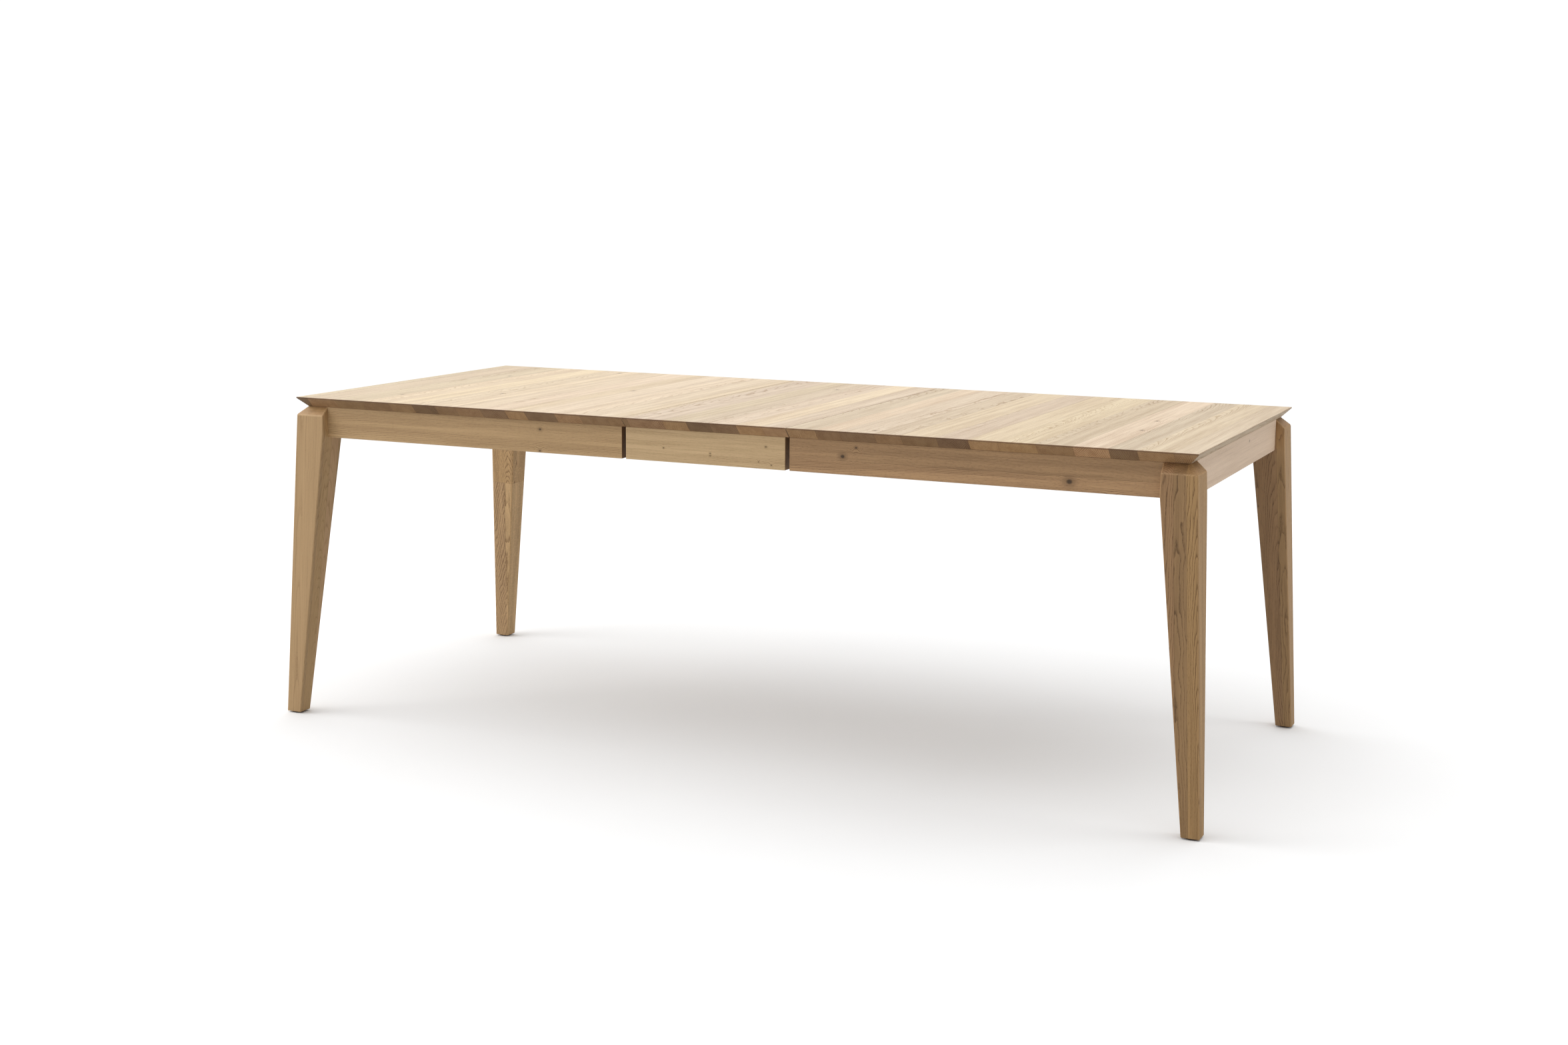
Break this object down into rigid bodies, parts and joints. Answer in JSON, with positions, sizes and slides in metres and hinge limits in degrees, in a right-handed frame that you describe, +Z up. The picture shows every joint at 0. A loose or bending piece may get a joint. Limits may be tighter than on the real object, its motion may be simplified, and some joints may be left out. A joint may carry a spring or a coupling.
{
  "type": "extendable dining table",
  "caption": "Extendable oak dining table with a pull-apart top on wooden runners, a lift-out leaf with its own aprons, tapered splayed legs and an under-bevelled top edge.",
  "frame": {"origin": "on the floor, under the middle of the table as it stands with its leaf in", "axes": "+X along the table, the way the right half pulls out; +Y to the back long side; +Z up"},
  "size_m": [2.1954, 0.9496, 0.755],
  "materials": {
    "oak_top": "matt oiled",
    "oak_leg": "matt oiled",
    "oak_apron": "matt oiled",
    "beech_rail": "sanded",
    "beech_runner": "waxed",
    "steel_plate": "zinc plated",
    "steel_fastener": "zinc plated",
    "plastic_pad": "moulded",
    "felt_glide": "pressed felt"
  },
  "bodies": {
    "left_half": {"apron_back_left": "oak_apron", "apron_front_left": "oak_apron", "corner_plate_back_left": "steel_plate", "corner_plate_front_left": "steel_plate", "end_apron_left": "oak_apron", "glide_back_left": "felt_glide", "glide_front_left": "felt_glide", "latch_bases_left": "steel_plate", "leg_back_left": "oak_leg", "leg_bolts_left": "steel_fastener", "leg_front_left": "oak_leg", "leg_nuts_left": "steel_fastener", "runner_back_left": "beech_runner", "runner_front_left": "beech_runner", "runner_screws_left": "steel_fastener", "runner_stop_pins": "beech_runner", "seam_rail_left": "beech_rail", "support_plates_left": "steel_plate", "top_clips_left": "steel_plate", "top_left": "oak_top", "wood_screws_left": "steel_fastener"},
    "right_half": {"apron_back_right": "oak_apron", "apron_front_right": "oak_apron", "corner_plate_back_right": "steel_plate", "corner_plate_front_right": "steel_plate", "end_apron_right": "oak_apron", "glide_back_right": "felt_glide", "glide_front_right": "felt_glide", "latch_studs_right": "steel_plate", "leg_back_right": "oak_leg", "leg_bolts_right": "steel_fastener", "leg_front_right": "oak_leg", "leg_nuts_right": "steel_fastener", "runner_back_right": "beech_runner", "runner_front_right": "beech_runner", "runner_key_back": "beech_runner", "runner_key_front": "beech_runner", "runner_screws_right": "steel_fastener", "seam_rail_right": "beech_rail", "support_plates_right": "steel_plate", "top_clips_right": "steel_plate", "top_right": "oak_top", "wood_screws_right": "steel_fastener"},
    "leaf": {"batten_screws": "steel_fastener", "latch_bases_leaf": "steel_plate", "leaf_apron_back": "oak_apron", "leaf_apron_front": "oak_apron", "leaf_batten_left": "beech_rail", "leaf_batten_right": "beech_rail", "leaf_clips": "steel_plate", "leaf_pads": "plastic_pad", "leaf_studs": "steel_plate", "leaf_top": "oak_top", "wood_screws_leaf": "steel_fastener"},
    "latch_back_leaf": {"latch_lever_back_leaf": "steel_plate"},
    "latch_back_left": {"latch_lever_back_left": "steel_plate"},
    "latch_front_leaf": {"latch_lever_front_leaf": "steel_plate"},
    "latch_front_left": {"latch_lever_front_left": "steel_plate"}
  },
  "joints": [
    {"name": "frame_slide", "type": "slide", "parent": "left_half", "child": "right_half", "axis": [1, 0, 0], "range_m": [0, 0.42]},
    {"name": "leaf_lift", "type": "slide", "parent": "left_half", "child": "leaf", "axis": [0, 0, 1], "range_m": [0, 0.3]},
    {"name": "latch_turn_front_left", "type": "hinge", "parent": "left_half", "child": "latch_front_left", "pos_m": [-0.245, -0.2, 0.723], "axis": [0, 0, -1], "range_deg": [0, 90]},
    {"name": "latch_turn_back_left", "type": "hinge", "parent": "left_half", "child": "latch_back_left", "pos_m": [-0.245, 0.2, 0.723], "axis": [0, 0, 1], "range_deg": [0, 90]},
    {"name": "latch_turn_front_leaf", "type": "hinge", "parent": "leaf", "child": "latch_front_leaf", "pos_m": [0.145, -0.2, 0.723], "axis": [0, 0, -1], "range_deg": [0, 90]},
    {"name": "latch_turn_back_leaf", "type": "hinge", "parent": "leaf", "child": "latch_back_leaf", "pos_m": [0.145, 0.2, 0.723], "axis": [0, 0, 1], "range_deg": [0, 90]}
  ]
}
